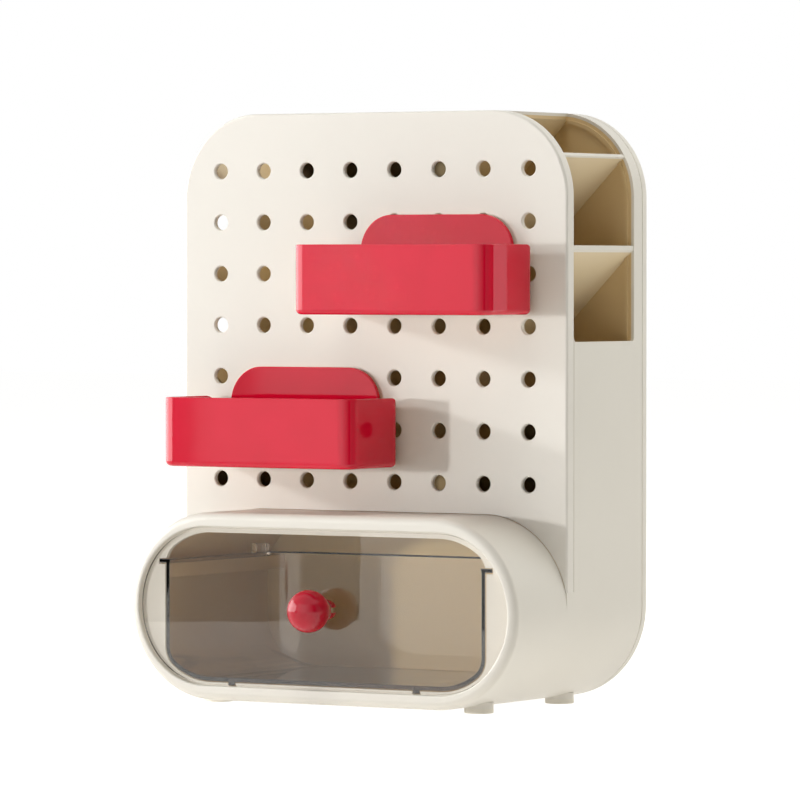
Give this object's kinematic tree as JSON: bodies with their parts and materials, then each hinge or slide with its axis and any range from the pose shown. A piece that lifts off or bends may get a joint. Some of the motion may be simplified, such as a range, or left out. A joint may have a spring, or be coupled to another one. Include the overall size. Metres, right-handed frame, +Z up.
{
  "type": "pegboard desk organizer",
  "caption": "Pegboard tower with slanted pen compartments open at both sides, removable pegged trays, and a clear pull-out drawer in a rounded housing.",
  "frame": {"origin": "on the table, under the middle of the whole object's width and depth, knob included", "axes": "+Z up; -Y is the front, where the drawer pulls out; +X is the viewer's right, seen from the front"},
  "size_m": [0.174, 0.116, 0.2281],
  "materials": {
    "ivory_shell": "satin moulded plastic",
    "ivory_panel": "satin moulded plastic",
    "clear_plastic": "clear polished",
    "red_gloss": "glossy",
    "screw_steel": "plain",
    "ivory_foot": "satin moulded plastic"
  },
  "bodies": {
    "organizer": {"body_shell": "ivory_shell", "pegboard_panel": "ivory_panel", "back_cover": "ivory_shell", "cover_screws": "screw_steel", "pen_divider_top": "ivory_shell", "pen_divider_upper": "ivory_shell", "pen_divider_middle": "ivory_shell", "pen_divider_lower_left": "ivory_shell", "pen_divider_lower_right": "ivory_shell", "drawer_bezel": "ivory_shell", "drawer_rail_left": "ivory_shell", "drawer_rail_right": "ivory_shell", "drawer_bay_back": "ivory_shell", "foot_front_left": "ivory_foot", "foot_front_right": "ivory_foot", "foot_rear_left": "ivory_foot", "foot_rear_right": "ivory_foot"},
    "drawer": {"drawer_front": "clear_plastic", "drawer_box": "clear_plastic", "drawer_knob": "red_gloss"},
    "upper_tray": {"tray_upper": "red_gloss"},
    "lower_tray": {"tray_lower": "red_gloss"}
  },
  "joints": [
    {"name": "drawer_slide", "type": "slide", "parent": "organizer", "child": "drawer", "axis": [0, -1, 0], "range_m": [0, 0.062]},
    {"name": "upper_tray_pull", "type": "slide", "parent": "organizer", "child": "upper_tray", "axis": [0, -1, 0], "range_m": [0, 0.008]},
    {"name": "lower_tray_pull", "type": "slide", "parent": "organizer", "child": "lower_tray", "axis": [0, -1, 0], "range_m": [0, 0.008]}
  ]
}
